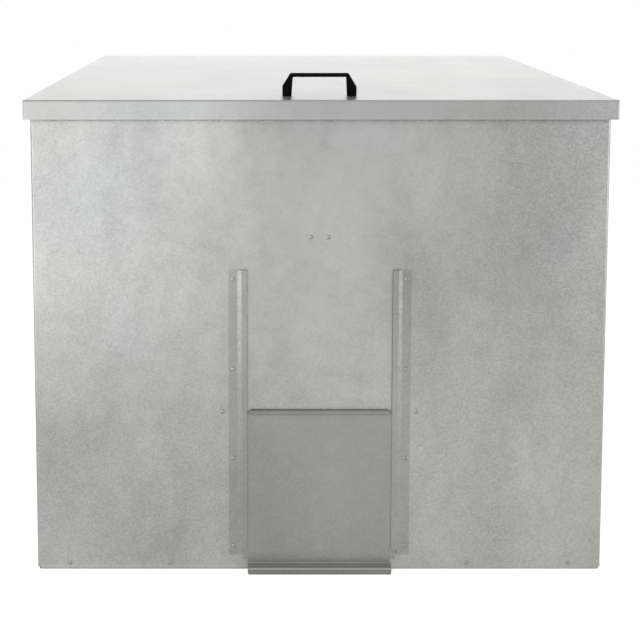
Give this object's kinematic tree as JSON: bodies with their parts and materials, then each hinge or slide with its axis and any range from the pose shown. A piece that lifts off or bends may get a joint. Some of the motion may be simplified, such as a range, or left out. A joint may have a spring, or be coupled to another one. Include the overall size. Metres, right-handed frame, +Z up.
{
  "type": "coal bunker",
  "caption": "Galvanised sheet steel coal bunker with a sloping hinged lid, a bridge handle and a lift-up front hatch between two riveted guide rails.",
  "frame": {"origin": "on the ground, under the middle of the bunker's bounding box", "axes": "+X to the right seen from the front, +Y to the back, +Z up; the hatch and the lid handle are at the front, on -Y"},
  "size_m": [1.018, 0.8116, 0.969],
  "materials": {
    "galvanised_sheet": "hot-dip galvanised, fine spangle, satin",
    "hatch_sheet": "hot-dip galvanised, duller, satin",
    "hinge_zinc": "bright zinc plated",
    "rivet_alloy": "plain aluminium",
    "screw_zinc": "bright zinc plated",
    "handle_plastic": "moulded black, fine matt texture"
  },
  "bodies": {
    "box": {"front_panel": "galvanised_sheet", "back_panel": "galvanised_sheet", "left_side_panel": "galvanised_sheet", "right_side_panel": "galvanised_sheet", "floor_tray": "galvanised_sheet", "hatch_lintel": "galvanised_sheet", "tie_bar": "galvanised_sheet", "left_guide_rail": "galvanised_sheet", "right_guide_rail": "galvanised_sheet", "left_hinge_body_leaf": "hinge_zinc", "right_hinge_body_leaf": "hinge_zinc", "left_hinge_pin": "hinge_zinc", "right_hinge_pin": "hinge_zinc", "left_hinge_body_rivet_1": "rivet_alloy", "left_hinge_body_rivet_2": "rivet_alloy", "right_hinge_body_rivet_1": "rivet_alloy", "right_hinge_body_rivet_2": "rivet_alloy", "lintel_rivet_1": "rivet_alloy", "lintel_rivet_2": "rivet_alloy", "tie_front_rivet_1": "rivet_alloy", "tie_front_rivet_2": "rivet_alloy", "tie_rear_rivet_1": "rivet_alloy", "tie_rear_rivet_2": "rivet_alloy", "floor_front_rivet_1": "rivet_alloy", "floor_front_rivet_2": "rivet_alloy", "floor_front_rivet_3": "rivet_alloy", "floor_front_rivet_4": "rivet_alloy", "floor_rear_rivet_1": "rivet_alloy", "floor_rear_rivet_2": "rivet_alloy", "floor_rear_rivet_3": "rivet_alloy", "floor_rear_rivet_4": "rivet_alloy", "left_floor_rivet_1": "rivet_alloy", "left_floor_rivet_2": "rivet_alloy", "right_floor_rivet_1": "rivet_alloy", "right_floor_rivet_2": "rivet_alloy", "left_rail_rivet_1": "rivet_alloy", "left_rail_rivet_2": "rivet_alloy", "left_rail_rivet_3": "rivet_alloy", "left_rail_rivet_4": "rivet_alloy", "right_rail_rivet_1": "rivet_alloy", "right_rail_rivet_2": "rivet_alloy", "right_rail_rivet_3": "rivet_alloy", "right_rail_rivet_4": "rivet_alloy"},
    "lid": {"lid_panel": "galvanised_sheet", "lid_stiffener": "galvanised_sheet", "lid_handle": "handle_plastic", "left_handle_screw": "screw_zinc", "right_handle_screw": "screw_zinc", "left_handle_washer": "screw_zinc", "right_handle_washer": "screw_zinc", "left_hinge_lid_leaf": "hinge_zinc", "right_hinge_lid_leaf": "hinge_zinc", "left_hinge_lid_rivet_1": "rivet_alloy", "left_hinge_lid_rivet_2": "rivet_alloy", "right_hinge_lid_rivet_1": "rivet_alloy", "right_hinge_lid_rivet_2": "rivet_alloy"},
    "hatch": {"hatch_plate": "hatch_sheet"}
  },
  "joints": [
    {"name": "lid_hinge", "type": "hinge", "parent": "box", "child": "lid", "pos_m": [0, 0.4013, 0.936], "axis": [-1, 0, 0], "range_deg": [0, 105]},
    {"name": "hatch_slide", "type": "slide", "parent": "box", "child": "hatch", "axis": [0, 0, 1], "range_m": [0, 0.24]}
  ]
}
